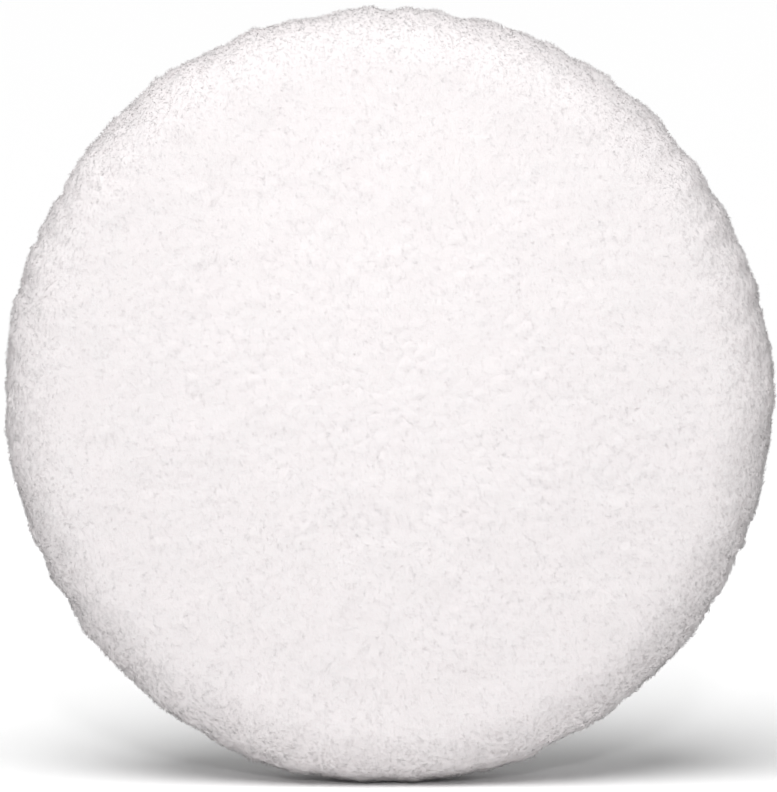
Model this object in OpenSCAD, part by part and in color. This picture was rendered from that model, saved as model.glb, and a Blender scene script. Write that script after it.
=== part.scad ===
// Hook-and-loop polishing pad with a sheared wool face, all sizes in millimetres.
// The pad stands on its rim: the wool face looks along -Y and the loop back along +Y.
// The origin is the centre of the loop back, where the machine's backing plate grips it.

/* [Wool] */
// Diameter over the wool at its widest
wool_d = 166; // [160:1:180]
// Thickness of the pad from the loop tips to the crown of the wool
pad_t = 26.5; // [24:0.5:32]
// How far the face domes from the shoulder to the crown
crown_rise = 2.1; // [0.5:0.1:3]
// Width of the shoulder that rolls from the face to the rim
shoulder_w = 13; // [10:0.5:15]
// Height above the loop tips of the lowest wool behind the rim
skirt_gap = 2; // [1.5:0.1:3]

/* [Laminate] */
// Diameter of the cloth, film and foam discs
disc_d = 149.2; // [145:0.1:150]
// Thickness of the knitted ground cloth that holds the wool
ground_t = 1.2; // [0.8:0.1:1.6]
// Thickness of the latex coat behind the ground cloth
latex_t = 0.4; // [0.2:0.1:0.6]
// Thickness of each hot-melt glue film
film_t = 0.2; // [0.1:0.1:0.3]
// Thickness of the foam interface disc
foam_t = 8; // [6:0.5:9]

/* [Loop back] */
// Diameter of the bare loop area inside the binding
loop_d = 138; // [130:1:139]
// Height of the brushed loops
loop_h = 1.4; // [1.2:0.1:1.8]
// Thickness of the knitted cloth that carries the loops
loop_cloth_t = 0.6; // [0.4:0.1:0.8]

/* [Edge binding] */
// Thickness of the binding tape
tape_t = 0.6; // [0.4:0.1:0.7]
// Width of the front leg of the folded tape
front_leg = 5.2; // [4.6:0.1:6]
// Diameter of the sewing thread
thread_d = 0.5; // [0.4:0.05:0.6]
// Number of lockstitches round the edge
stitch_n = 114; // [90:1:130]
// Share of each stitch pitch that lies on the surface
stitch_share = 0.8; // [0.6:0.05:0.9]

/* [Hidden] */

wool_r = wool_d / 2;
disc_r = disc_d / 2;
loop_r = loop_d / 2;
tape_gap = 0.2;
groove_room = 0.1;
round_fn = 180;
thread_fn = 24;

// Heights above the loop tips of each layer's back face, in order from the back to the wool.
loop_cloth_z = loop_h;
rear_film_z = loop_cloth_z + loop_cloth_t;
foam_z = rear_film_z + film_t;
front_film_z = foam_z + foam_t;
latex_z = front_film_z + film_t;
ground_z = latex_z + latex_t;
root_z = ground_z + ground_t;

// The folded tape wraps the laminate's rim, and its front leg lies among the wool roots.
tape_r = disc_r + tape_t;
back_leg_z = loop_h - tape_t;
back_leg_r = loop_r + tape_gap;
front_leg_z = root_z + tape_t;
front_leg_r = tape_r - front_leg;
seam_r = (back_leg_r + disc_r) / 2;

// The wool's outer shape: a domed face, an elliptical shoulder and a skirt behind the rim.
shoulder_r = wool_r - shoulder_w;
shoulder_z = pad_t - crown_rise;
rim_low_z = 10;
rim_high_z = 12;
skirt_r = tape_r + 0.8;
arc_steps = 14;
crown_steps = 10;

// Points along an ellipse about [r0, z0], with half-axes rr and rz, from one angle to another.
function ellipse_arc(r0, z0, rr, rz, from, to) =
    [for (i = [0:arc_steps]) let (a = from + (to - from) * i / arc_steps) [r0 + rr * cos(a), z0 + rz * sin(a)]];

// Height of the domed face at radius r, a shallow parabola.
function crown_z(r) = pad_t - crown_rise * pow(r / shoulder_r, 2);

skirt = ellipse_arc(skirt_r, rim_low_z, wool_r - skirt_r, rim_low_z - skirt_gap, -90, 0);
shoulder = ellipse_arc(shoulder_r, rim_high_z, shoulder_w, shoulder_z - rim_high_z, 0, 90);
crown = [for (i = [1:crown_steps]) let (r = shoulder_r * (1 - i / crown_steps)) [r, crown_z(r)]];

// Turns a pad drawn with its back on the XY plane to stand on its rim, face forward.
module stand() {
    rotate([90, 0, 0]) children();
}

// A round layer of the laminate, with its back face at height z.
module layer(z, thickness, radius = disc_r) {
    stand() translate([0, 0, z]) cylinder(h = thickness, r = radius, $fn = round_fn);
}

// Straight stitches end to end round the seam, with their axes at height z.
module stitches(z) {
    pitch = 360 / stitch_n;
    length = 2 * seam_r * sin(pitch / 2) * stitch_share;
    stand() for (i = [0:stitch_n - 1])
        rotate([0, 0, i * pitch])
            translate([seam_r, 0, z])
                rotate([90, 0, 0])
                    cylinder(h = length, d = thread_d, center = true, $fn = thread_fn);
}

// Room among the wool roots for the stitches on the front leg of the binding.
module bobbin_groove() {
    width = thread_d + 4 * groove_room;
    rotate_extrude($fn = round_fn)
        translate([seam_r - width / 2, front_leg_z - groove_room])
            square([width, thread_d + 2 * groove_room]);
}

// Sheared wool: the pile on the face, the rolled shoulder and the fibres that fall behind the rim.
module wool_pile() {
    roots = [
        [0, root_z], [front_leg_r, root_z], [front_leg_r, front_leg_z], [tape_r, front_leg_z],
        [tape_r, skirt_gap]
    ];
    color("snow") stand() difference() {
        rotate_extrude($fn = round_fn) polygon(concat(roots, skirt, shoulder, crown));
        bobbin_groove();
    }
}

// Knitted cloth that the wool is anchored in.
module ground_cloth() {
    color("ivory") layer(ground_z, ground_t);
}

// Latex that locks the wool's roots.
module latex_coat() {
    color("cornsilk") layer(latex_z, latex_t);
}

module front_glue_film() {
    color("wheat") layer(front_film_z, film_t);
}

// Open-cell foam that lets the face follow a curved panel.
module foam_interface() {
    color("khaki") layer(foam_z, foam_t);
}

module rear_glue_film() {
    color("wheat") layer(rear_film_z, film_t);
}

module loop_cloth() {
    color("whitesmoke") layer(loop_cloth_z, loop_cloth_t);
}

// Brushed loops that the hooks of the backing plate hold.
module loop_pile() {
    color("gainsboro") layer(0, loop_h, loop_r);
}

// Tape folded in a U over the laminate's rim.
module edge_binding() {
    fold = [
        [back_leg_r, back_leg_z], [tape_r, back_leg_z], [tape_r, front_leg_z], [front_leg_r, front_leg_z],
        [front_leg_r, root_z], [disc_r, root_z], [disc_r, loop_h], [back_leg_r, loop_h]
    ];
    color("antiquewhite") stand() rotate_extrude($fn = round_fn) polygon(fold);
}

// Stitches that show on the back of the pad, below the loop tips.
module edge_needle_thread() {
    color("white") stitches(back_leg_z - thread_d / 2);
}

// Stitches on the front leg of the tape, hidden among the wool roots.
module edge_bobbin_thread() {
    color("white") stitches(front_leg_z + thread_d / 2);
}

wool_pile();
ground_cloth();
latex_coat();
front_glue_film();
foam_interface();
rear_glue_film();
loop_cloth();
loop_pile();
edge_binding();
edge_needle_thread();
edge_bobbin_thread();
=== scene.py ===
import math

import bpy
import numpy as np
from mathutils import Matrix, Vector


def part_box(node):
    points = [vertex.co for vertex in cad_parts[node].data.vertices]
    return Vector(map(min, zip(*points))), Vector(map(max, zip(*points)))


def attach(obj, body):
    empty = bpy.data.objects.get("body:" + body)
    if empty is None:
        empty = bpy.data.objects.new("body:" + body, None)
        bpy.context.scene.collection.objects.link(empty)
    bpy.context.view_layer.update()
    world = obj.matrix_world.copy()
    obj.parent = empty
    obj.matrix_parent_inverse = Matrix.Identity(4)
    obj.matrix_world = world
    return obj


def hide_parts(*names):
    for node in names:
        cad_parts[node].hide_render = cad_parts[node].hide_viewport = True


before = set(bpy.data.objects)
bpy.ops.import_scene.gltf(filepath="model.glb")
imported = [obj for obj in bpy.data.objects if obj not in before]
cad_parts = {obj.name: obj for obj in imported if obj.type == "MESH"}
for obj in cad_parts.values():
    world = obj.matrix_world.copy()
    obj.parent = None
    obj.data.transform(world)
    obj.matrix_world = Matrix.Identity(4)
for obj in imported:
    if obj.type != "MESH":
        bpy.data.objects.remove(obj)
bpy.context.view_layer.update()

mm = 0.001
goldenAngle = math.pi * (3 - math.sqrt(5))


def onPad(radius, angle, height):
    # Radius and angle are about the pad's axis, which is Y; height is measured from the loop tips towards
    # the face, so x = radius cos(angle), y = -height, z = radius sin(angle).
    radius, angle, height = np.broadcast_arrays(radius, angle, height)
    return np.stack([radius * np.cos(angle), -height, radius * np.sin(angle)], axis=-1)


def unit(vectors):
    # Each vector divided by its own length.
    return vectors / np.maximum(np.linalg.norm(vectors, axis=-1, keepdims=True), 1e-12)


def latticeValue(cell, seed):
    # A repeatable number from 0 to 1 for each whole-number cell, by mixing its bits.
    cell = cell.astype(np.int64)
    mixed = cell[..., 0] * 73856093 ^ cell[..., 1] * 19349663 ^ cell[..., 2] * 83492791 ^ seed * 2654435761
    mixed = (mixed ^ (mixed >> 13)) * 1274126177
    mixed = (mixed ^ (mixed >> 16)) & 0xFFFFFF
    return mixed / 0xFFFFFF


def smoothNoise(points, size, seed):
    # Noise from -1 to 1 whose bumps are about size apart: lattice values blended with a smooth step.
    place = points / size
    cell = np.floor(place)
    part = place - cell
    part = part * part * (3 - 2 * part)
    total = np.zeros(points.shape[:-1])
    for corner in range(8):
        offset = np.array([corner & 1, corner >> 1 & 1, corner >> 2 & 1])
        share = np.prod(np.where(offset == 1, part, 1 - part), axis=-1)
        total += share * latticeValue(cell + offset, seed)
    return total * 2 - 1


def meshPiece(name, points, faceLists, material, smooth=True):
    # Puts arrays of points and of faces, one array for each number of corners, into a new object.
    mesh = bpy.data.meshes.new(name)
    points = np.asarray(points, np.float32).reshape(-1, 3)
    corners = np.concatenate([np.asarray(f).ravel() for f in faceLists]).astype(np.int32)
    sizes = np.concatenate([np.full(len(f), np.shape(f)[1]) for f in faceLists])
    starts = np.concatenate([[0], np.cumsum(sizes)[:-1]]).astype(np.int32)
    mesh.vertices.add(len(points))
    mesh.vertices.foreach_set("co", points.ravel())
    mesh.loops.add(len(corners))
    mesh.loops.foreach_set("vertex_index", corners)
    mesh.polygons.add(len(starts))
    mesh.polygons.foreach_set("loop_start", starts)
    mesh.polygons.foreach_set("use_smooth", np.full(len(starts), smooth))
    mesh.update(calc_edges=True)
    mesh.materials.append(material)
    piece = bpy.data.objects.new(name, mesh)
    bpy.context.scene.collection.objects.link(piece)
    return piece


def addValues(piece, name, values):
    # One number for each vertex, which a material can read by name.
    layer = piece.data.attributes.new(name, "FLOAT", "POINT")
    layer.data.foreach_set("value", np.asarray(values, np.float32).ravel())


def addUv(piece, uv, turn):
    # A UV map worked out for each vertex and handed to the corners of quads. Quads that join the end of a
    # round to its start carry on past turn, the length of the round, instead of jumping back.
    corners = np.empty(len(piece.data.loops), np.int32)
    piece.data.loops.foreach_get("vertex_index", corners)
    values = np.asarray(uv).reshape(-1, 2)[corners].reshape(-1, 4, 2)
    behind = values[..., 0] < values[..., 0].max(axis=1, keepdims=True) - turn / 2
    values[..., 0] += turn * behind
    layer = piece.data.uv_layers.new(name="clothUV")
    layer.data.foreach_set("uv", values.astype(np.float32).ravel())


def gridFaces(around, rows, closeRows=False):
    # Quads of a grid that wraps round its first direction, facing outwards when the rows run from the
    # pad's face to its back. With closeRows, the last row joins the first.
    a = np.arange(around)
    r = np.arange(rows if closeRows else rows - 1)
    here, after = a[None, :], ((a + 1) % around)[None, :]
    row, nextRow = (r * around)[:, None], (((r + 1) % rows) * around)[:, None]
    return np.stack([row + here, row + after, nextRow + after, nextRow + here], axis=-1).reshape(-1, 4)


def turnedPiece(name, rings, frontPole, backPole, material):
    # A closed round shape: rings of points between two poles, one on the face side and one at the back.
    rows, around = rings.shape[:2]
    points = np.concatenate([rings.reshape(-1, 3), [frontPole, backPole]])
    a = np.arange(around)
    after = (a + 1) % around
    front, back, last = rows * around, rows * around + 1, (rows - 1) * around
    frontCap = np.stack([np.full(around, front), after, a], -1)
    backCap = np.stack([np.full(around, back), last + a, last + after], -1)
    return meshPiece(name, points, [gridFaces(around, rows), np.concatenate([frontCap, backCap])], material)


def makeGroup(name, inputs, outputs):
    # An empty shader node group with those sockets, each given as name and kind.
    group = bpy.data.node_groups.new(name, "ShaderNodeTree")
    for label, kind, value in inputs:
        socket = group.interface.new_socket(label, in_out="INPUT", socket_type="NodeSocket" + kind)
        if value is not None:
            socket.default_value = value
    for label, kind in outputs:
        group.interface.new_socket(label, in_out="OUTPUT", socket_type="NodeSocket" + kind)
    return group, group.nodes.new("NodeGroupInput"), group.nodes.new("NodeGroupOutput")


def addNode(tree, kind, links=None, **settings):
    # A shader node with its properties set and its inputs linked or given a value.
    node = tree.nodes.new("ShaderNode" + kind)
    for key, value in settings.items():
        setattr(node, key, value)
    for socket, source in (links or {}).items():
        if isinstance(source, bpy.types.NodeSocket):
            tree.links.new(source, node.inputs[socket])
        else:
            node.inputs[socket].default_value = source
    return node


def makeMottle():
    # Cloudy shade of a fibre mass: the colour drifts between two tones over a wide and a fine noise.
    group, given, result = makeGroup(
        "mottle",
        [("Vector", "Vector", None), ("Light", "Color", (1, 1, 1, 1)),
         ("Dark", "Color", (0.8, 0.8, 0.8, 1)), ("Wide", "Float", 60.0), ("Fine", "Float", 700.0)],
        [("Color", "Color"), ("Height", "Float")],
    )
    vector = given.outputs["Vector"]
    wide = addNode(group, "TexNoise", {"Vector": vector, "Scale": given.outputs["Wide"], "Detail": 3.0})
    fine = addNode(group, "TexNoise", {"Vector": vector, "Scale": given.outputs["Fine"], "Detail": 4.0})
    sources = {0: wide.outputs["Fac"], 1: fine.outputs["Fac"], 2: fine.outputs["Fac"]}
    both = addNode(group, "Math", sources, operation="MULTIPLY_ADD")
    share = addNode(group, "MapRange", {"Value": both.outputs[0], "From Min": 0.55, "From Max": 1.05})
    blend = addNode(group, "Mix", {"Factor": share.outputs[0]}, data_type="RGBA")
    group.links.new(given.outputs["Dark"], blend.inputs[6])
    group.links.new(given.outputs["Light"], blend.inputs[7])
    group.links.new(blend.outputs[2], result.inputs["Color"])
    group.links.new(fine.outputs["Fac"], result.inputs["Height"])
    return group


def makeWeave():
    # Twill: two sets of yarns as sine ridges, the warp lying over the weft on a diagonal.
    group, given, result = makeGroup(
        "twillWeave",
        [("Vector", "Vector", None), ("Yarns", "Float", 3000.0)],
        [("Height", "Float"), ("Mask", "Float")],
    )
    parts = addNode(group, "SeparateXYZ", {0: given.outputs["Vector"]})
    ridges = []
    for axis in ("X", "Y"):
        sources = {0: parts.outputs[axis], 1: given.outputs["Yarns"]}
        turned = addNode(group, "Math", sources, operation="MULTIPLY")
        wave = addNode(group, "Math", {0: turned.outputs[0]}, operation="SINE")
        ridges.append((turned, addNode(group, "Math", {0: wave.outputs[0]}, operation="ABSOLUTE")))
    turns = {0: ridges[0][0].outputs[0], 1: ridges[1][0].outputs[0]}
    slope = addNode(group, "Math", turns, operation="ADD")
    halved = addNode(group, "Math", {0: slope.outputs[0], 1: 0.5}, operation="MULTIPLY")
    twill = addNode(group, "Math", {0: halved.outputs[0]}, operation="SINE")
    mask = addNode(group, "MapRange", {"Value": twill.outputs[0], "From Min": -0.35, "From Max": 0.35})
    warp, weft = ridges[0][1].outputs[0], ridges[1][1].outputs[0]
    pick = addNode(group, "Mix", {"Factor": mask.outputs[0], 2: warp, 3: weft})
    group.links.new(pick.outputs[0], result.inputs["Height"])
    group.links.new(mask.outputs[0], result.inputs["Mask"])
    return group


def makeKnit():
    # Knitted cloth: upright rows of ribs, each broken into stitches by a second, offset wave.
    group, given, result = makeGroup(
        "knitCloth",
        [("Vector", "Vector", None), ("Wales", "Float", 2600.0)],
        [("Height", "Float")],
    )
    parts = addNode(group, "SeparateXYZ", {0: given.outputs["Vector"]})
    wales = given.outputs["Wales"]
    across = addNode(group, "Math", {0: parts.outputs["X"], 1: wales}, operation="MULTIPLY")
    along = addNode(group, "Math", {0: parts.outputs["Z"], 1: wales}, operation="MULTIPLY")
    rib = addNode(group, "Math", {0: across.outputs[0]}, operation="SINE")
    ribSize = addNode(group, "Math", {0: rib.outputs[0]}, operation="ABSOLUTE")
    lean = addNode(group, "Math", {0: ribSize.outputs[0], 1: along.outputs[0]}, operation="ADD")
    loop = addNode(group, "Math", {0: lean.outputs[0]}, operation="SINE")
    loopSize = addNode(group, "Math", {0: loop.outputs[0]}, operation="ABSOLUTE")
    both = addNode(group, "Math", {0: ribSize.outputs[0], 1: loopSize.outputs[0]}, operation="MULTIPLY")
    group.links.new(both.outputs[0], result.inputs["Height"])
    return group


groups = {"mottle": makeMottle(), "weave": makeWeave(), "knit": makeKnit()}


def useGroup(tree, name, vector, values):
    # Places a shared group and sets its own inputs.
    node = tree.nodes.new("ShaderNodeGroup")
    node.node_tree = groups[name]
    tree.links.new(vector, node.inputs["Vector"])
    for label, value in values.items():
        node.inputs[label].default_value = value
    return node


def startMaterial(name, roughness, specular=0.3, sheen=0.0, sheenRoughness=0.5):
    # A new Principled material with its plain values set on the shader itself.
    material = bpy.data.materials.new(name)
    material.use_nodes = True
    tree = material.node_tree
    shader = tree.nodes["Principled BSDF"]
    shader.inputs["Roughness"].default_value = roughness
    shader.inputs["Specular IOR Level"].default_value = specular
    shader.inputs["Sheen Weight"].default_value = sheen
    shader.inputs["Sheen Roughness"].default_value = sheenRoughness
    place = addNode(tree, "TexCoord")
    return material, tree, shader, place


def mixColour(tree, factor, first, second, way="MIX"):
    # Blends two colours, each a link or a plain value, and gives the result's socket.
    node = addNode(tree, "Mix", {"Factor": factor, 6: first, 7: second}, data_type="RGBA", blend_type=way)
    return node.outputs[2]


def mapRange(tree, value, low, high, toLow, toHigh):
    # Stretches a value from one range to another and gives the result's socket.
    ends = {"From Min": low, "From Max": high, "To Min": toLow, "To Max": toHigh}
    return addNode(tree, "MapRange", {"Value": value, **ends}).outputs[0]


def addBump(tree, shader, height, depth):
    # Raises the shading by a height, whose full range stands for depth in metres.
    bump = addNode(tree, "Bump", {"Height": height, "Strength": 1.0, "Distance": depth})
    tree.links.new(bump.outputs["Normal"], shader.inputs["Normal"])


woolLook = {
    "light": (0.72, 0.673, 0.677, 1),
    "dark": (0.695, 0.673, 0.676, 1),
    "bed": (0.695, 0.659, 0.662, 1),
    # root: painted shade that darkens fibre roots and the bed between tufts, most on the rim and skirt
    "root": (0.56, 0.534, 0.536, 1),
    "roughness": 0.95,
    "sheen": 0.06,
}


def woolBedMaterial():
    # The dense wool under the tips: mottled, with a fine felt-like grain. Its depth value mixes in the
    # root colour as painted shade on the rim and skirt.
    w = woolLook
    material, tree, shader, place = startMaterial("woolBed", w["roughness"], 0.15, w["sheen"], 0.6)
    vector = place.outputs["Object"]
    shades = {"Light": w["dark"], "Dark": w["bed"], "Wide": 150.0, "Fine": 2500.0}
    tone = useGroup(tree, "mottle", vector, shades)
    depth = addNode(tree, "Attribute", attribute_name="depth")
    colour = mixColour(tree, depth.outputs["Fac"], tone.outputs["Color"], w["root"])
    tree.links.new(colour, shader.inputs["Base Color"])
    addBump(tree, shader, tone.outputs["Height"], 0.05 * mm)
    return material


def woolFibreMaterial():
    # A shorn lock: paler towards its tip, the darker root being painted shade, with cloudy warm and cool
    # drifts over the pad.
    w = woolLook
    material, tree, shader, place = startMaterial("woolFibre", w["roughness"], 0.15, w["sheen"], 0.6)
    shades = {"Light": w["light"], "Dark": w["dark"], "Wide": 35.0, "Fine": 420.0}
    tone = useGroup(tree, "mottle", place.outputs["Object"], shades)
    along = addNode(tree, "Attribute", attribute_name="along")
    shade = mapRange(tree, along.outputs["Fac"], 0.0, 0.7, 0.0, 1.0)
    colour = mixColour(tree, shade, w["root"], tone.outputs["Color"])
    tree.links.new(colour, shader.inputs["Base Color"])
    return material


def knitMaterial(name, light, dark, wales):
    # Knitted ground: ribs and stitches in relief over a mottled yarn colour, with painted shade in the
    # hollows between them.
    material, tree, shader, place = startMaterial(name, 0.85, 0.2, 0.15)
    vector = place.outputs["Object"]
    knit = useGroup(tree, "knit", vector, {"Wales": wales})
    tone = useGroup(tree, "mottle", vector, {"Light": light, "Dark": dark, "Wide": 90.0, "Fine": 3000.0})
    # Painted shade: the yarn colour darkens where the knit's relief is low
    hollowShade = mapRange(tree, knit.outputs["Height"], 0.0, 1.0, 0.72, 1.0)
    colour = mixColour(tree, 1.0, tone.outputs["Color"], hollowShade, "MULTIPLY")
    tree.links.new(colour, shader.inputs["Base Color"])
    addBump(tree, shader, knit.outputs["Height"], 0.12 * mm)
    return material


tapeYarns = 5200.0
paleTape = ((0.88, 0.87, 0.845, 1), (0.81, 0.795, 0.765, 1))
# Colour of the painted shade in the seam's creases
creaseShadeColour = (0.5, 0.48, 0.45, 1)


def tapeMaterial():
    # Twill tape: warp and weft ridges in relief, with painted shade in the hollows between yarns and in
    # the creases by the seam.
    material, tree, shader, place = startMaterial("bindingTwill", 0.75, 0.25, 0.1)
    weave = useGroup(tree, "weave", place.outputs["UV"], {"Yarns": tapeYarns})
    light, dark = paleTape
    shades = {"Light": light, "Dark": dark, "Wide": 80.0, "Fine": 2200.0}
    tone = useGroup(tree, "mottle", place.outputs["Object"], shades)
    # Painted shade: the colour darkens where the weave's relief is low
    hollowShade = mapRange(tree, weave.outputs["Height"], 0.0, 1.0, 0.7, 1.0)
    cloth = mixColour(tree, 1.0, tone.outputs["Color"], hollowShade, "MULTIPLY")
    # Painted shade in the creases where the tape dips under each stitch
    creaseShade = addNode(tree, "Attribute", attribute_name="creaseShade")
    seamShade = mapRange(tree, creaseShade.outputs["Fac"], 0.0, 1.0, 0.0, 0.55)
    colour = mixColour(tree, seamShade, cloth, creaseShadeColour)
    tree.links.new(colour, shader.inputs["Base Color"])
    addBump(tree, shader, weave.outputs["Height"], 0.1 * mm)
    return material


def fuzzMaterial(name, light, dark, fine, roughness=0.9, sheen=0.2, depth=0.1):
    # Plain fibre or foam stock: mottled colour with a grain of its own size.
    material, tree, shader, place = startMaterial(name, roughness, 0.2, sheen)
    shades = {"Light": light, "Dark": dark, "Wide": 120.0, "Fine": fine}
    tone = useGroup(tree, "mottle", place.outputs["Object"], shades)
    tree.links.new(tone.outputs["Color"], shader.inputs["Base Color"])
    addBump(tree, shader, tone.outputs["Height"], depth * mm)
    return material


def foamMaterial():
    # Open cells: a Voronoi net whose walls are pale and whose pores sink and are darkened as painted shade.
    material, tree, shader, place = startMaterial("openCellFoam", 0.9, 0.2)
    sources = {"Vector": place.outputs["Object"], "Scale": 1100.0}
    cells = addNode(tree, "TexVoronoi", sources, feature="DISTANCE_TO_EDGE")
    # Painted shade: the colour darkens away from the cell walls, into the pores
    wall = mapRange(tree, cells.outputs["Distance"], 0.02, 0.2, 1.0, 0.0)
    colour = mixColour(tree, wall, (0.52, 0.47, 0.36, 1), (0.88, 0.84, 0.7, 1))
    tree.links.new(colour, shader.inputs["Base Color"])
    addBump(tree, shader, wall, 0.3 * mm)
    return material


def filmMaterial(name, light, dark, roughness):
    # Set glue or latex: smooth, with thick and thin patches that change its gloss.
    material, tree, shader, place = startMaterial(name, roughness, 0.5)
    shades = {"Light": light, "Dark": dark, "Wide": 110.0, "Fine": 600.0}
    tone = useGroup(tree, "mottle", place.outputs["Object"], shades)
    tree.links.new(tone.outputs["Color"], shader.inputs["Base Color"])
    gloss = mapRange(tree, tone.outputs["Height"], 0.0, 1.0, roughness - 0.12, roughness + 0.15)
    tree.links.new(gloss, shader.inputs["Roughness"])
    addBump(tree, shader, tone.outputs["Height"], 0.05 * mm)
    return material


# The felt mat is darker than the loop yarn: painted shade under the loops
shadedFelt = ((0.74, 0.74, 0.73, 1), (0.6, 0.6, 0.59, 1))
paleYarn = ((0.9, 0.9, 0.89, 1), (0.82, 0.82, 0.81, 1))
paleThread = ((0.93, 0.92, 0.9, 1), (0.85, 0.84, 0.81, 1))
materials = {
    "woolBed": woolBedMaterial(),
    "woolFibre": woolFibreMaterial(),
    "groundKnit": knitMaterial("groundKnit", (0.84, 0.82, 0.78, 1), (0.76, 0.74, 0.69, 1), 2200.0),
    "loopKnit": knitMaterial("loopKnit", (0.83, 0.83, 0.82, 1), (0.75, 0.75, 0.74, 1), 2800.0),
    "loopFelt": fuzzMaterial("loopFelt", *shadedFelt, fine=2600.0, depth=0.2),
    "loopYarn": fuzzMaterial("loopYarn", *paleYarn, fine=3500.0, roughness=0.6, sheen=0.15, depth=0.03),
    "tape": tapeMaterial(),
    "thread": fuzzMaterial("sewingThread", *paleThread, fine=5000.0, roughness=0.5, sheen=0.1, depth=0.04),
    "foam": foamMaterial(),
    "latex": filmMaterial("setLatex", (0.87, 0.83, 0.72, 1), (0.8, 0.76, 0.64, 1), 0.55),
    "glueFilm": filmMaterial("hotMeltFilm", (0.88, 0.85, 0.74, 1), (0.8, 0.76, 0.63, 1), 0.35),
}


stageValues = {
    "elevation": math.radians(6),
    "distance": 1.3,
    "frameWidth": 166.1 * mm,
    "aspect": 777 / 792,
    "aimDepth": -12 * mm,
    "aimHeight": 0.3 * mm,
    "floorSize": 9.0,
    "floorColour": (0.965, 0.965, 0.965, 1),
    "world": 0.29,
    "sun": 2.8,
    "sunAngle": math.radians(45),
    "sunTurn": (math.radians(28), 0.0, math.radians(-17)),
    "spotRadius": 0.12,
    "spots": {
        "snoot": (58.0, (0.05, -1.4, 0.62), (-0.002, 0.0, 0.042), math.radians(10)),
        "backFill": (24.0, (0.7, 1.85, 0.16), (0.0, 0.0, 0.03), math.radians(7)),
    },
}


def makeStage(v):
    # A long lens looks at the face from just above the floor, so that the disc stays round. A wide soft sun
    # lights pad and floor from above, and one spot each fills the face and the back.
    camera = bpy.data.objects.new("camera", bpy.data.cameras.new("camera"))
    back = Vector((0, -math.cos(v["elevation"]), math.sin(v["elevation"])))
    aim = Vector((0, v["aimDepth"], v["aimHeight"]))
    camera.location = aim + back * v["distance"]
    camera.rotation_euler = (-back).to_track_quat("-Z", "Y").to_euler()
    camera.data.lens = camera.data.sensor_width * v["distance"] * v["aspect"] / v["frameWidth"]
    bpy.context.scene.collection.objects.link(camera)
    bpy.context.scene.camera = camera

    half = v["floorSize"]
    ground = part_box("wool_pile")[0].z
    corners = [(-half, -half, ground), (half, -half, ground), (half, half, ground), (-half, half, ground)]
    paper = bpy.data.materials.new("floorPaper")
    paper.use_nodes = True
    paper.node_tree.nodes["Principled BSDF"].inputs["Base Color"].default_value = v["floorColour"]
    paper.node_tree.nodes["Principled BSDF"].inputs["Roughness"].default_value = 0.9
    floor = meshPiece("floor", corners, [np.array([[0, 1, 2, 3]])], paper, smooth=False)

    world = bpy.data.worlds.new("studio")
    world.use_nodes = True
    world.node_tree.nodes["Background"].inputs["Color"].default_value = (1, 1, 1, 1)
    world.node_tree.nodes["Background"].inputs["Strength"].default_value = v["world"]
    bpy.context.scene.world = world

    sun = bpy.data.objects.new("key", bpy.data.lights.new("key", "SUN"))
    sun.data.energy = v["sun"]
    sun.data.angle = v["sunAngle"]
    sun.rotation_euler = v["sunTurn"]
    bpy.context.scene.collection.objects.link(sun)

    for name, (energy, place, target, cone) in v["spots"].items():
        spot = bpy.data.objects.new(name, bpy.data.lights.new(name, "SPOT"))
        spot.data.energy = energy
        spot.data.spot_size = cone
        spot.data.spot_blend = 1.0
        spot.data.shadow_soft_size = v["spotRadius"]
        spot.location = place
        spot.rotation_euler = (Vector(target) - Vector(place)).to_track_quat("-Z", "Y").to_euler()
        bpy.context.scene.collection.objects.link(spot)
    bpy.context.scene.view_settings.view_transform = "Standard"


makeStage(stageValues)
print("stage made")


woolLow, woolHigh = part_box("wool_pile")
woolRadius = woolHigh.x
crownHeight = -woolLow.y
skirtHeight = -woolHigh.y
tapeLow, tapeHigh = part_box("edge_binding")
tapeRadius = tapeHigh.x
floorHeight = woolLow.z
rootHeight = -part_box("ground_cloth")[0].y

woolShape = {
    "crownRise": 2.1 * mm,
    "shoulderWidth": 13 * mm,
    "rimHigh": 12 * mm,
    "rimLow": 10 * mm,
    "skirtRadius": tapeRadius + 0.8 * mm,
    "bedDepth": (0.25 * mm, 0.7 * mm),
    "lockPitch": 3.6 * mm,
    "lockDome": 0.12 * mm,
    "lockUneven": 0.05 * mm,
    "outlineSteps": 700,
    "easing": 75,
    "rimRelief": 2.4,
    "swell": 0.17 * mm,
    "grain": 0.04 * mm,
    "evenFrom": 35 * mm,
    "tall": 0.009,
    "lopsided": 0.003,
    "scallop": 0.62 * mm,
    "tuft": 0.34 * mm,
    "floorReach": 9 * mm,
    "floorBulge": 0.05,
    "around": 540,
    "rings": 150,
    "firstRing": 1.2 * mm,
    "ringCrowding": 1.3,
    "rootShades": (0.3, 0.6),
    "tallTurn": 1.75,
    "lopsidedTurn": 2.4,
    "pressMiddle": -13 * mm,
    "seed": 11,
}


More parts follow.
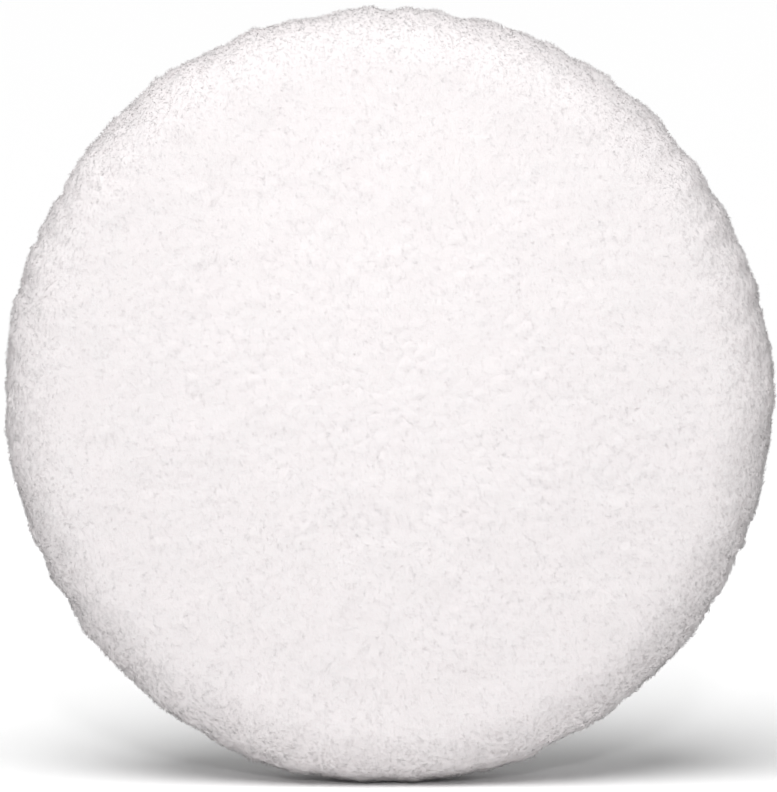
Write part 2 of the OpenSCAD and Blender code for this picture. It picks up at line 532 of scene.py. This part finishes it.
def woolProfile():
    # The shorn outline from the crown's middle to the skirt: a parabola over the face, a quarter ellipse
    # for the shoulder, a short straight rim and a quarter ellipse for the skirt, eased along their length
    # so that no ring shows where they meet. Columns are radius, height, the outward normal's two parts,
    # and the length travelled.
    w = woolShape
    shoulderRadius = woolRadius - w["shoulderWidth"]
    shoulderHeight = crownHeight - w["crownRise"]
    t = np.linspace(0, 1, 161)[1:]
    turn = t * math.pi / 2
    radius = np.concatenate([
        [0], shoulderRadius * t, shoulderRadius + w["shoulderWidth"] * np.sin(turn), [woolRadius],
        w["skirtRadius"] + (woolRadius - w["skirtRadius"]) * np.cos(turn),
    ])
    height = np.concatenate([
        [crownHeight], crownHeight - w["crownRise"] * t ** 2,
        w["rimHigh"] + (shoulderHeight - w["rimHigh"]) * np.cos(turn), [w["rimLow"]],
        w["rimLow"] - (w["rimLow"] - skirtHeight) * np.sin(turn),
    ])
    travelled = np.concatenate([[0], np.cumsum(np.hypot(np.diff(radius), np.diff(height)))])
    even = np.linspace(0, travelled[-1], w["outlineSteps"])
    window = np.hanning(w["easing"])
    eased = []
    for values in (radius, height):
        ends = np.pad(np.interp(even, travelled, values), w["easing"] // 2, "reflect", reflect_type="odd")
        eased.append(np.convolve(ends, window / window.sum(), "valid"))
    radius, height = eased
    length = np.concatenate([[0], np.cumsum(np.hypot(np.diff(radius), np.diff(height)))])
    along = unit(np.stack([np.gradient(radius, length), np.gradient(height, length)], axis=-1))
    return np.stack([radius, height, -along[:, 1], along[:, 0], length], axis=-1)


profile = woolProfile()


def profileAt(length):
    # The profile's columns at any length, by straight interpolation.
    return [np.interp(length, profile[:, 4], profile[:, k]) for k in range(4)]


def spreadOver(count, jitter, rng):
    # Points spread evenly over the wool by area: each is one golden angle round from the last, at the
    # length where the swept area reaches its share. Gives length and angle.
    area = np.concatenate([[0], np.cumsum((profile[1:, 0] + profile[:-1, 0]) / 2 * np.diff(profile[:, 4]))])
    share = (np.arange(count) + 0.5) / count
    length = np.interp(share * area[-1], area, profile[:, 4])
    angle = np.arange(count) * goldenAngle
    radius = np.maximum(np.interp(length, profile[:, 4], profile[:, 0]), 1 * mm)
    length = length + rng.uniform(-jitter, jitter, count)
    angle = angle + rng.uniform(-jitter, jitter, count) / radius
    return np.clip(length, 0.3 * mm, profile[-1, 4]), angle


def rimShare(length):
    # 0 over the face and 1 on the rim, with a smooth step along the whole shoulder.
    start = woolRadius - woolShape["shoulderWidth"]
    t = np.clip((length - start + 2 * mm) / (22 * mm), 0, 1)
    return t * t * (3 - 2 * t)


def skirtShare(length):
    # 0 up to the last 10 mm of the outline and 1 at its end, where the wool is left unshorn.
    return np.clip((length - profile[-1, 4]) / (10 * mm) + 1, 0, 1)


def between(pair, share):
    # A value for the face and one for the rim, mixed by share.
    return pair[0] + (pair[1] - pair[0]) * share


def woolArea():
    # Swept area of the outline, 2 pi times radius summed along its length.
    return 2 * math.pi * np.sum((profile[1:, 0] + profile[:-1, 0]) / 2 * np.diff(profile[:, 4]))


def woolPoint(length, angle, lift=0.0):
    # A point on the shorn outline moved out along its normal by lift, and that normal.
    radius, height, normalOut, normalUp = profileAt(length)
    points = onPad(radius + normalOut * lift, angle, height + normalUp * lift)
    normals = onPad(normalOut, angle, normalUp)
    return points, normals


rng = np.random.default_rng(woolShape["seed"])
lockCount = int(woolArea() / (0.87 * woolShape["lockPitch"] ** 2))
lockLength, lockAngle = spreadOver(lockCount, 0.32 * woolShape["lockPitch"], rng)
lockPoint = woolPoint(lockLength, lockAngle)[0]
lockSize = rng.uniform(0.6, 1.25, lockCount)
lockRise = rng.normal(0, 1, lockCount)
lockTone = rng.uniform(0, 1, lockCount) ** 2


def nearestLocks(points):
    # The nearest lock to each point and the distances to the nearest two, worked out in slices.
    nearest = np.empty(len(points), np.int64)
    first = np.empty(len(points))
    second = np.empty(len(points))
    lockSquare = (lockPoint ** 2).sum(1)
    for start in range(0, len(points), 8000):
        some = points[start:start + 8000]
        square = (some ** 2).sum(1)[:, None] + lockSquare[None, :] - 2 * some @ lockPoint.T
        two = np.argpartition(square, 1, axis=1)[:, :2]
        reach = np.sqrt(np.maximum(np.take_along_axis(square, two, axis=1), 0))
        order = np.argsort(reach, axis=1)
        nearest[start:start + 8000] = np.take_along_axis(two, order[:, :1], axis=1)[:, 0]
        reach = np.take_along_axis(reach, order, axis=1)
        first[start:start + 8000], second[start:start + 8000] = reach[:, 0], reach[:, 1]
    return nearest, first, second


def bedLift(points, length, nearest, first, second):
    # How far the wool mass stands from the shorn outline: below it by the bed's depth, domed over each
    # lock, with wider swells and a fine grain that starts at nothing in the middle of the face.
    w = woolShape
    dome = 1 - np.clip(first / (first + second) * 2, 0, 1) ** 2
    swell = smoothNoise(points, 9 * mm, 3) + 0.6 * smoothNoise(points, 4.5 * mm, 4)
    grain = smoothNoise(points, 1.1 * mm, 5) * np.clip(length / w["evenFrom"], 0, 1)
    share = rimShare(length)
    lift = dome * (w["lockDome"] * lockSize[nearest] + w["lockUneven"] * lockRise[nearest])
    lift = lift + w["swell"] * swell + w["grain"] * grain
    lift = lift * between((1.0, w["rimRelief"]), share) - between(w["bedDepth"], share)
    return lift * np.clip((profile[-1, 4] - length) / (3 * mm), 0, 1)


def settle(points):
    # Gives the pad its hand-made outline and stands it on the floor: the radius swells a little with the
    # cosine of twice and three times the angle, more towards the rim, and whatever would sink below the
    # floor is pressed flat on it and spread sideways.
    w = woolShape
    x, y, z = points[..., 0], points[..., 1], points[..., 2]
    radius, angle = np.hypot(x, z), np.arctan2(z, x)
    share = (radius / woolRadius) ** 4
    tall = w["tall"] * np.cos(2 * (angle - w["tallTurn"]))
    lopsided = w["lopsided"] * np.cos(3 * (angle - w["lopsidedTurn"]))
    grow = 1 + share * (tall + lopsided)
    ring = onPad(np.full_like(angle, woolRadius), angle, -0.6 * y)
    edge = w["scallop"] * smoothNoise(ring, 5 * mm, 21) + w["tuft"] * smoothNoise(ring, 2.6 * mm, 22)
    edge = edge * share
    x, z = x * grow + edge * np.cos(angle), z * grow + edge * np.sin(angle)
    press = np.clip((floorHeight + w["floorReach"] - z) / w["floorReach"], 0, 1.4) ** 2
    x = x * (1 + w["floorBulge"] * press)
    middle = w["pressMiddle"]
    y = middle + (y - middle) * (1 + w["floorBulge"] * press)
    z = np.where(z < floorHeight, floorHeight + 0.02 * (z - floorHeight) + 0.06 * mm, z)
    return np.stack([x, y, z], axis=-1)


def makeWoolBed():
    # The wool mass: the outline displaced by bedLift, its rings closer together near the middle, closed by
    # a wall round the binding and a flat behind. Each point's depth value is painted root shade: some on
    # the rim, more on the skirt and full on the wall and flat.
    w = woolShape
    start = w["firstRing"]
    steps = start + (profile[-1, 4] - start) * np.linspace(0, 1, w["rings"]) ** w["ringCrowding"]
    length, angle = np.meshgrid(steps, np.arange(w["around"]) * 2 * math.pi / w["around"], indexing="ij")
    flatLength, flatAngle = length.ravel(), angle.ravel()
    points, normals = woolPoint(flatLength, flatAngle)
    nearest, first, second = nearestLocks(points)
    lift = bedLift(points, flatLength, nearest, first, second)
    outer = settle(points + normals * lift[:, None]).reshape(len(steps), w["around"], 3)
    inside = [
        (tapeRadius + 0.25 * mm, skirtHeight + 0.4 * mm),
        (tapeRadius + 0.2 * mm, 6 * mm),
        (tapeRadius + 0.2 * mm, rootHeight + 1.0 * mm),
        (tapeRadius - 0.6 * mm, rootHeight + 1.2 * mm),
        (70 * mm, rootHeight + 1.0 * mm),
        (69 * mm, rootHeight + 0.1 * mm),
        (40 * mm, rootHeight + 0.1 * mm),
        (5 * mm, rootHeight + 0.1 * mm),
    ]
    inner = np.array([settle(onPad(r, angle[0], h)) for r, h in inside])
    rings = np.concatenate([outer, inner])
    front = np.array([0, -crownHeight + w["bedDepth"][0], 0])
    back = np.array([0, -rootHeight - 0.1 * mm, 0])
    piece = turnedPiece("woolBed", rings, front, back, materials["woolBed"])
    # Painted shade: how much of the dark root colour the bed gets on the rim, the skirt and the hidden wall
    rimRootShade, skirtRootShade = w["rootShades"]
    shown = rimRootShade * rimShare(flatLength) + skirtRootShade * skirtShare(flatLength)
    hidden = np.ones(inner.size // 3)
    addValues(piece, "depth", np.concatenate([shown, hidden, [0.0, 1.0]]))
    return piece


woolBed = makeWoolBed()
print("wool bed made", len(woolBed.data.polygons), "faces")

fibreValues = {
    "perSquareMm": 3.6,
    "jitter": 0.5 * mm,
    "width": 0.075 * mm,
    "widthSpread": (0.75, 1.3),
    "faceRise": (0.0, 0.11 * mm),
    "rimRise": (0.08 * mm, 0.7 * mm),
    "skirtRise": 1.3 * mm,
    "lean": (0.6 * mm, 1.5 * mm),
    "comb": 1.3 * mm,
    "pull": (0.04, 0.75),
    "tuftRound": (0.27, 0.9),
    "coarser": 0.9,
    "scatter": 0.2 * mm,
    "sink": 0.35 * mm,
    "softNormals": 0.9,
    "sharpness": (0.05, 0.33),
    "rootShades": (0.1, 0.24, 0.64),
    "dull": (0.3, 0.4),
    "lockWander": 0.75,
    "lockHold": 0.35,
    "ownWander": 0.6,
    "knee": (0.85, 0.3),
    "ringPlaces": (0.0, 0.55),
    "ringWidths": (1.0, 0.85),
    "seed": 29,
}


def growFibres(count, v):
    # Fibres as bent three-sided spikes: each follows a quadratic curve that leaves the bed along its normal
    # and bends over in its lock's direction. On the skirt they grow longer and coarser, hang towards the
    # binding and gather in tufts. Gives the points of every fibre, their soft normals, how far along from
    # dark root to pale tip each point is, and the length and angle of the root. The dark root is painted
    # shade, deeper on the rim and skirt, mixed with a random dullness for each fibre and its lock.
    rng = np.random.default_rng(v["seed"])
    length, angle = spreadOver(count, v["jitter"], rng)
    point, normal = woolPoint(length, angle)
    nearest, first, second = nearestLocks(point)
    lift = bedLift(point, length, nearest, first, second)
    root = point + normal * (lift - v["sink"])[:, None]

    drift = np.stack([smoothNoise(lockPoint, 14 * mm, seed) for seed in (31, 32, 33)], axis=-1)
    lockLean = unit(drift + rng.normal(0, v["lockWander"], drift.shape))
    lean = lockLean[nearest] * v["lockHold"] + rng.normal(0, v["ownWander"], (count, 3))
    lean = lean - normal * (lean * normal).sum(1)[:, None]
    lean = unit(lean) * rng.uniform(*v["lean"], count)[:, None]
    centre = lockPoint[nearest] - point
    centre = centre - normal * (centre * normal).sum(1)[:, None]
    scatter = rng.normal(0, v["scatter"], (count, 3))
    share, skirt = rimShare(length), skirtShare(length)
    out, up = profileAt(length)[2:]
    comb = onPad(up, angle, -out) * (v["comb"] * skirt)[:, None]
    gather = centre * between(v["pull"], skirt)[:, None]
    sideways = lean + comb + gather + scatter - normal * (scatter * normal).sum(1)[:, None]
    rimRound, skirtRound = v["tuftRound"]
    rounded = centre / woolShape["lockPitch"] * (rimRound * share + skirtRound * skirt)[:, None]
    tuftNormal = unit(normal - rounded)
    low = between((v["faceRise"][0], v["rimRise"][0]), share)
    high = between((v["faceRise"][1], v["rimRise"][1]), share)
    high = high + v["skirtRise"] * skirt
    rise = low + (high - low) * rng.uniform(0, 1, count) + v["sink"]
    tip = root + normal * rise[:, None] + sideways
    kneeRise, kneeReach = v["knee"]
    knee = root + normal * (rise * kneeRise)[:, None] + sideways * kneeReach

    def curve(t):
        return (1 - t) ** 2 * root + 2 * t * (1 - t) * knee + t * t * tip

    def heading(t):
        return unit((1 - t) * (knee - root) + t * (tip - knee))

    rimSharpness, skirtSharpness = v["sharpness"]
    soft = (v["softNormals"] - rimSharpness * share - skirtSharpness * skirt)[:, None]
    spin = rng.normal(0, 1, (count, 3))
    width = v["width"] * rng.uniform(*v["widthSpread"], count) * (1 + v["coarser"] * skirt)
    layers, softLayers = [], []
    for place, thickness in zip(v["ringPlaces"], v["ringWidths"]):
        direction = heading(place)
        side = unit(spin - direction * (spin * direction).sum(1)[:, None])
        other = np.cross(direction, side)
        for corner in range(3):
            turn = corner * 2 * math.pi / 3
            across = side * math.cos(turn) + other * math.sin(turn)
            layers.append(curve(place) + across * (width * thickness)[:, None])
            softLayers.append(unit(across * (1 - soft) + tuftNormal * soft))
    layers.append(tip)
    softLayers.append(unit(heading(1.0) * (1 - soft) + tuftNormal * soft))
    t = np.append(np.repeat(v["ringPlaces"], 3), 1.0)
    # Painted root shade: darker towards the bed, a little on the face, more on the rim and most on the
    # skirt
    depth = sum(part * where for part, where in zip(v["rootShades"], (1, share, skirt)))[:, None]
    ownDull, lockDull = v["dull"]
    clean = 1 - ownDull * rng.uniform(0, 1, (count, 1)) - lockDull * lockTone[nearest][:, None]
    along = 1 - (1 - t * clean) * depth
    return settle(np.stack(layers, axis=1)), np.stack(softLayers, axis=1), along, length, angle


def fibreFaces(count):
    # A cap at the root, two bands of sides and a point, for every fibre of a piece.
    one = [[2, 1, 0]]
    for corner in range(3):
        after = (corner + 1) % 3
        one += [[corner, after, after + 3], [corner, after + 3, corner + 3], [corner + 3, after + 3, 6]]
    return (np.array(one)[None] + 7 * np.arange(count)[:, None, None]).reshape(-1, 3)


def makeWoolFibres():
    # The fibres of the face and of the rim, each cut into four quarters.
    v = fibreValues
    count = int(woolArea() / mm ** 2 * v["perSquareMm"])
    points, normals, along, length, angle = growFibres(count, v)
    shoulder = woolRadius - woolShape["shoulderWidth"]
    quarter = (angle / (math.pi / 2)).astype(int) % 4
    made = []
    for name, inRegion in (("woolFace", length < shoulder), ("woolRim", length >= shoulder)):
        for k in range(4):
            chosen = inRegion & (quarter == k)
            faces = [fibreFaces(chosen.sum())]
            piece = meshPiece(f"{name}{k + 1}", points[chosen], faces, materials["woolFibre"])
            addValues(piece, "along", along[chosen])
            piece.data.normals_split_custom_set_from_vertices(normals[chosen].reshape(-1, 3))
            made.append(piece)
    print("wool fibres made", count)
    return made


woolFibres = makeWoolFibres()

backHeight = -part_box("loop_cloth")[1].y
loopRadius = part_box("loop_pile")[1].x
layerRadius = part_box("foam_interface")[1].x
stitchCount = 114
stitchPitch = 2 * math.pi / stitchCount
threadLow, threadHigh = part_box("edge_needle_thread")
threadSize = threadHigh.y - threadLow.y
needleHeight = -(threadLow.y + threadHigh.y) / 2
bobbinLow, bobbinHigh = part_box("edge_bobbin_thread")
bobbinHeight = -(bobbinLow.y + bobbinHigh.y) / 2
seamRadius = threadHigh.x - threadSize / 2


def tubes(paths, widths, sides, spin, lobes=0.0, twist=0.0):
    # Round rods along many paths at once: each ring is a circle square to the path, with every other corner
    # pushed out by lobes and the ring turned by twist for each step. Gives path, ring, corner and xyz.
    direction = unit(np.gradient(paths, axis=1))
    side = unit(spin[:, None, :] - direction * (direction * spin[:, None, :]).sum(-1, keepdims=True))
    other = np.cross(direction, side)
    corner = np.arange(sides)
    turn = corner[None, :] * 2 * math.pi / sides + twist * np.arange(paths.shape[1])[:, None]
    reach = widths[..., None] * (1 + lobes * (-1.0) ** corner)
    turn = turn[None, ..., None]
    out = side[:, :, None] * np.cos(turn) + other[:, :, None] * np.sin(turn)
    return paths[:, :, None] + out * reach[..., None]


def tubeFaces(count, rings, sides):
    # Side quads and the two end caps of every rod.
    corner = np.arange(sides)
    after = (corner + 1) % sides
    ring = np.arange(rings - 1)[:, None] * sides
    far = ring + sides
    walls = np.stack([ring + corner, ring + after, far + after, far + corner], -1).reshape(-1, 4)
    caps = np.stack([corner[::-1], (rings - 1) * sides + corner])
    start = np.arange(count)[:, None, None] * rings * sides
    return [(walls[None] + start).reshape(-1, 4), (caps[None] + start).reshape(-1, sides)]


layerValues = {
    "areaShares": (0.0004, 0.985),
    "edgeRings": 9,
    "edgeRound": 0.12,
    "fineDent": 3 * mm,
    "wideDent": 9 * mm,
    "sideGap": 0.1 * mm,
}


def layerDisc(name, radius, low, high, relief, waist, material, rows=26, around=192):
    # A round cloth or foam layer: two faces dented by noise, never proud of low and high, joined by an edge
    # that is rounded by half an ellipse and drawn in at its waist. The rings of a face hold equal areas.
    v = layerValues
    reach = radius * np.sqrt(np.linspace(*v["areaShares"], rows))
    arc = np.linspace(0, math.pi, v["edgeRings"])
    middle, half = (low + high) / 2, (high - low) / 2
    edgeRadius = radius - waist * np.sin(arc) ** 2 - v["edgeRound"] * half * np.cos(arc) ** 4
    radii = np.concatenate([reach, edgeRadius, reach[::-1]])
    heights = np.concatenate([np.full(rows, high), middle + half * np.cos(arc), np.full(rows, low)])
    inward = np.concatenate([np.full(rows, -1.0), -np.cos(arc), np.full(rows, 1.0)])
    angle = np.arange(around) * 2 * math.pi / around
    points = onPad(radii[:, None], angle[None, :], heights[:, None])
    dent = 0.5 + 0.3 * smoothNoise(points, v["fineDent"], 61) + 0.2 * smoothNoise(points, v["wideDent"], 62)
    points[..., 1] -= relief * dent * inward[:, None]
    middleDent = relief / 2
    return turnedPiece(name, points, (0, -high + middleDent, 0), (0, -low - middleDent, 0), material)


def innerLayer(name, node, relief, waist, look, rows=26):
    # One of the laminate's layers, as high as its CAD node and a little narrower.
    low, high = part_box(node)
    radius = layerRadius - layerValues["sideGap"]
    return layerDisc(name, radius, -high.y, -low.y, relief, waist, materials[look], rows)


groundCloth = innerLayer("groundCloth", "ground_cloth", 0.06 * mm, 0.05 * mm, "groundKnit")
foamDisc = innerLayer("foamDisc", "foam_interface", 0.08 * mm, 0.5 * mm, "foam", rows=34)
loopCloth = innerLayer("loopCloth", "loop_cloth", 0.05 * mm, 0.05 * mm, "loopKnit")
print("inner layers made")

loopValues = {
    "matHeight": 0.8 * mm,
    "matRelief": 0.2 * mm,
    "perSquareMm": 0.68,
    "halfSpan": (0.45 * mm, 0.85 * mm),
    "rise": (0.6 * mm, 0.92 * mm),
    "lean": (0.25 * mm, 0.8 * mm),
    "thread": 0.12 * mm,
    "edgeGap": 0.9 * mm,
    "jitter": 0.3 * mm,
    "footAbove": 0.25 * mm,
    "heading": (0.6, 0.7, 0.55),
    "headingDrift": 16 * mm,
    "napWander": 0.5,
    "places": 6,
    "pieces": 3,
    "seed": 47,
}


def makeLoops(v):
    # Loops as arches on a spiral of golden angles: half a turn of a circle stretched to its span and rise,
    # leaning with the nap. Their feet are sunk in the mat, and their tips touch the back plane.
    rng = np.random.default_rng(v["seed"])
    reach = loopRadius - v["edgeGap"]
    count = int(math.pi * (reach / mm) ** 2 * v["perSquareMm"])
    step = np.arange(count)
    radius = reach * np.sqrt((step + 0.5) / count) + rng.normal(0, v["jitter"], count)
    angle = step * goldenAngle + rng.normal(0, v["jitter"], count) / np.maximum(radius, 2 * mm)
    foot = onPad(np.clip(radius, 0, reach), angle, v["matHeight"] + v["footAbove"])
    mean, drift, wander = v["heading"]
    heading = mean + drift * smoothNoise(foot, v["headingDrift"], 51) + rng.normal(0, wander, count)
    along = np.stack([np.cos(heading), np.zeros(count), np.sin(heading)], -1)
    nap = heading + math.pi / 2 + rng.normal(0, v["napWander"], count)
    leaning = np.stack([np.cos(nap), np.zeros(count), np.sin(nap)], -1)
    turn = np.linspace(0, math.pi, v["places"])
    span = rng.uniform(*v["halfSpan"], count)[:, None, None]
    rise = rng.uniform(*v["rise"], count)[:, None, None]
    lean = rng.uniform(*v["lean"], count)[:, None, None]
    up = np.array([0, 1.0, 0])
    arch = np.sin(turn)[None, :, None]
    paths = (foot[:, None] - along[:, None] * span * np.cos(turn)[None, :, None]
             + up * rise * arch ** 0.8 + leaning[:, None] * lean * arch ** 1.5)
    paths[..., 1] = np.minimum(paths[..., 1], -v["thread"] * 1.1)
    widths = v["thread"] * rng.uniform(0.85, 1.15, (count, 1)) * np.ones((1, len(turn)))
    points = tubes(paths, widths, 3, rng.normal(0, 1, (count, 3)))
    made = []
    for k, some in enumerate(np.array_split(step, v["pieces"])):
        faces = tubeFaces(len(some), len(turn), 3)
        made.append(meshPiece(f"loops{k + 1}", points[some], faces, materials["loopYarn"]))
    print("loops made", count)
    return made


loops = makeLoops(loopValues)
loopMat = layerDisc("loopMat", loopRadius - layerValues["sideGap"], loopValues["matHeight"], backHeight,
                    loopValues["matRelief"], 0.0, materials["loopFelt"], rows=60, around=300)

tapeValues = {
    "thickness": 0.5 * mm,
    "corner": 0.75 * mm,
    "frontEdge": 70.1 * mm,
    "backEdge": 69.35 * mm,
    "pucker": 0.13 * mm,
    "puckerWidth": 1.5 * mm,
    "edgeWave": 0.16 * mm,
    "gather": 0.07 * mm,
    "slack": 0.04 * mm,
    "edgeReach": 2.2 * mm,
    "edgeTaper": 0.3 * mm,
    "slowWave": 7 * mm,
    "quickWave": 2.6 * mm,
    "stepsPerStitch": 8,
}


def makeTape(v):
    # The folded tape: a U-shaped centre line with round corners, thickened by half a tape each way, swept
    # round the pad. It dips under each stitch, puffs between them, and its free edges wave.
    half, corner = v["thickness"] / 2, v["corner"]
    wall = tapeRadius - half
    front = -tapeLow.y - half
    back = -tapeHigh.y + half
    bend = np.linspace(0, math.pi / 2, 6)
    turnIn = wall - corner
    radius = np.concatenate([np.linspace(v["frontEdge"], turnIn, 10)[:-1], turnIn + corner * np.sin(bend),
                             np.full(7, wall), turnIn + corner * np.cos(bend),
                             np.linspace(turnIn, v["backEdge"], 12)[1:]])
    height = np.concatenate([np.full(9, front), front - corner + corner * np.cos(bend),
                             np.linspace(front - corner, back + corner, 9)[1:-1],
                             back + corner - corner * np.sin(bend), np.full(11, back)])
    across = np.concatenate([[0], np.cumsum(np.hypot(np.diff(radius), np.diff(height)))])
    tangent = unit(np.stack([np.gradient(radius, across), np.gradient(height, across)], -1))
    normal = np.stack([-tangent[:, 1], tangent[:, 0]], -1)
    fromEnd = np.minimum(across, across[-1] - across)
    taper = np.sqrt(np.clip(fromEnd / v["edgeTaper"], 0.12, 1))
    outer = np.stack([radius, height], -1) + normal * (half * taper)[:, None]
    inner = np.stack([radius, height], -1) - normal * (half * taper)[:, None]
    section = np.concatenate([outer, inner[::-1]])
    normals = np.concatenate([normal, normal[::-1]])
    ends = np.concatenate([fromEnd, fromEnd[::-1]])
    acrossBoth = np.concatenate([across, across[::-1]])

    around = stitchCount * v["stepsPerStitch"]
    angle = np.arange(around) * 2 * math.pi / around
    wave = np.cos(stitchCount * angle)[None, :]
    onLeg = np.abs(normals[:, 1:]) > 0.9
    nearSeam = np.exp(-((section[:, :1] - seamRadius) / v["puckerWidth"]) ** 2) * onLeg
    ring = onPad(np.full(around, wall), angle, 0 * angle)
    slow = smoothNoise(ring, v["slowWave"], 71)[None, :]
    quick = smoothNoise(ring, v["quickWave"], 72)[None, :]
    push = -v["pucker"] * nearSeam * (0.5 + 0.5 * wave) - v["slack"] * (1 - nearSeam) * (1 + quick) * onLeg
    push = push - v["gather"] * (0.5 + 0.5 * quick) * (1 - onLeg)
    edgeShare = np.clip(1 - ends / v["edgeReach"], 0, 1)[:, None] ** 1.5
    sideways = v["edgeWave"] * edgeShare * (0.6 * wave + 0.8 * slow + 0.5 * quick)
    # The crease value is painted shade, darkest where the tape dips under a stitch
    creaseShade = nearSeam * (0.35 + 0.65 * (0.5 + 0.5 * wave) ** 2)
    r = section[:, :1] + normals[:, :1] * push + sideways
    h = section[:, 1:] + normals[:, 1:] * push
    points = onPad(r, angle[None, :], h)
    faces = gridFaces(around, len(section), closeRows=True)
    piece = meshPiece("edgeBinding", points, [faces], materials["tape"])
    length = 2 * math.pi * wall
    wholeTwills = round(length * tapeYarns / (4 * math.pi)) * 4 * math.pi / tapeYarns
    place = np.broadcast_arrays(angle[None, :] / (2 * math.pi) * wholeTwills, acrossBoth[:, None])
    addUv(piece, np.stack(place, -1), wholeTwills)
    addValues(piece, "creaseShade", creaseShade)
    return piece, across[-1], length


edgeBinding, tapeWidth, tapeLength = makeTape(tapeValues)
print("binding made", round(tapeWidth / mm, 1), "by", round(tapeLength / mm, 1), "mm")

threadValues = {
    "share": 0.86,
    "dive": 0.85 * mm,
    "slant": 0.16 * mm,
    "bow": 0.06 * mm,
    "thickness": (0.94, 0.16),
    "lobes": 0.13,
    "twist": 0.55,
    "rings": 9,
    "sides": 6,
}


def makeStitches(name, height, inward, v):
    # Lockstitches round the seam: each lies along the tape, slants a little, bows out in the middle, and
    # dives into the tape at both ends with the fourth power of its length, where it is pulled thin.
    along = np.linspace(-1, 1, v["rings"])[None, :]
    middle = np.arange(stitchCount)[:, None] * stitchPitch + stitchPitch / 2
    angle = middle + along * stitchPitch * v["share"] / 2
    lift = inward * v["dive"] * along ** 4 - inward * v["bow"] * (1 - along ** 2)
    paths = onPad(seamRadius + v["slant"] * along, angle, height + lift)
    full, thinner = v["thickness"]
    widths = threadSize / 2 * (full - thinner * along ** 6) * np.ones((stitchCount, 1))
    spin = np.tile([0.0, 1.0, 0.0], (stitchCount, 1))
    points = tubes(paths, widths, v["sides"], spin, v["lobes"], v["twist"])
    return meshPiece(name, points, tubeFaces(stitchCount, v["rings"], v["sides"]), materials["thread"])


bow = threadValues["bow"]
needleThread = makeStitches("edgeNeedleThread", needleHeight + bow, 1, threadValues)
bobbinThread = makeStitches("edgeBobbinThread", bobbinHeight - bow, -1, threadValues)
print("stitches made", 2 * stitchCount)

replacements = {
    "wool_pile": ("wool", [woolBed] + woolFibres),
    "ground_cloth": ("ground_knit", [groundCloth]),
    "foam_interface": ("foam", [foamDisc]),
    "loop_cloth": ("loop_knit", [loopCloth]),
    "loop_pile": ("loop_velour", [loopMat] + loops),
    "edge_binding": ("binding_tape", [edgeBinding]),
    "edge_needle_thread": ("thread", [needleThread]),
    "edge_bobbin_thread": ("thread", [bobbinThread]),
}
for node, (slot, pieces) in replacements.items():
    for piece in pieces:
        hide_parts(node)
        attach(piece, "root")

cadMaterials = {
    "latex_coat": "latex",
    "front_glue_film": "glueFilm",
    "rear_glue_film": "glueFilm",
}
for node, look in cadMaterials.items():
    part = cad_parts[node]
    part.data.materials.clear()
    part.data.materials.append(materials[look])
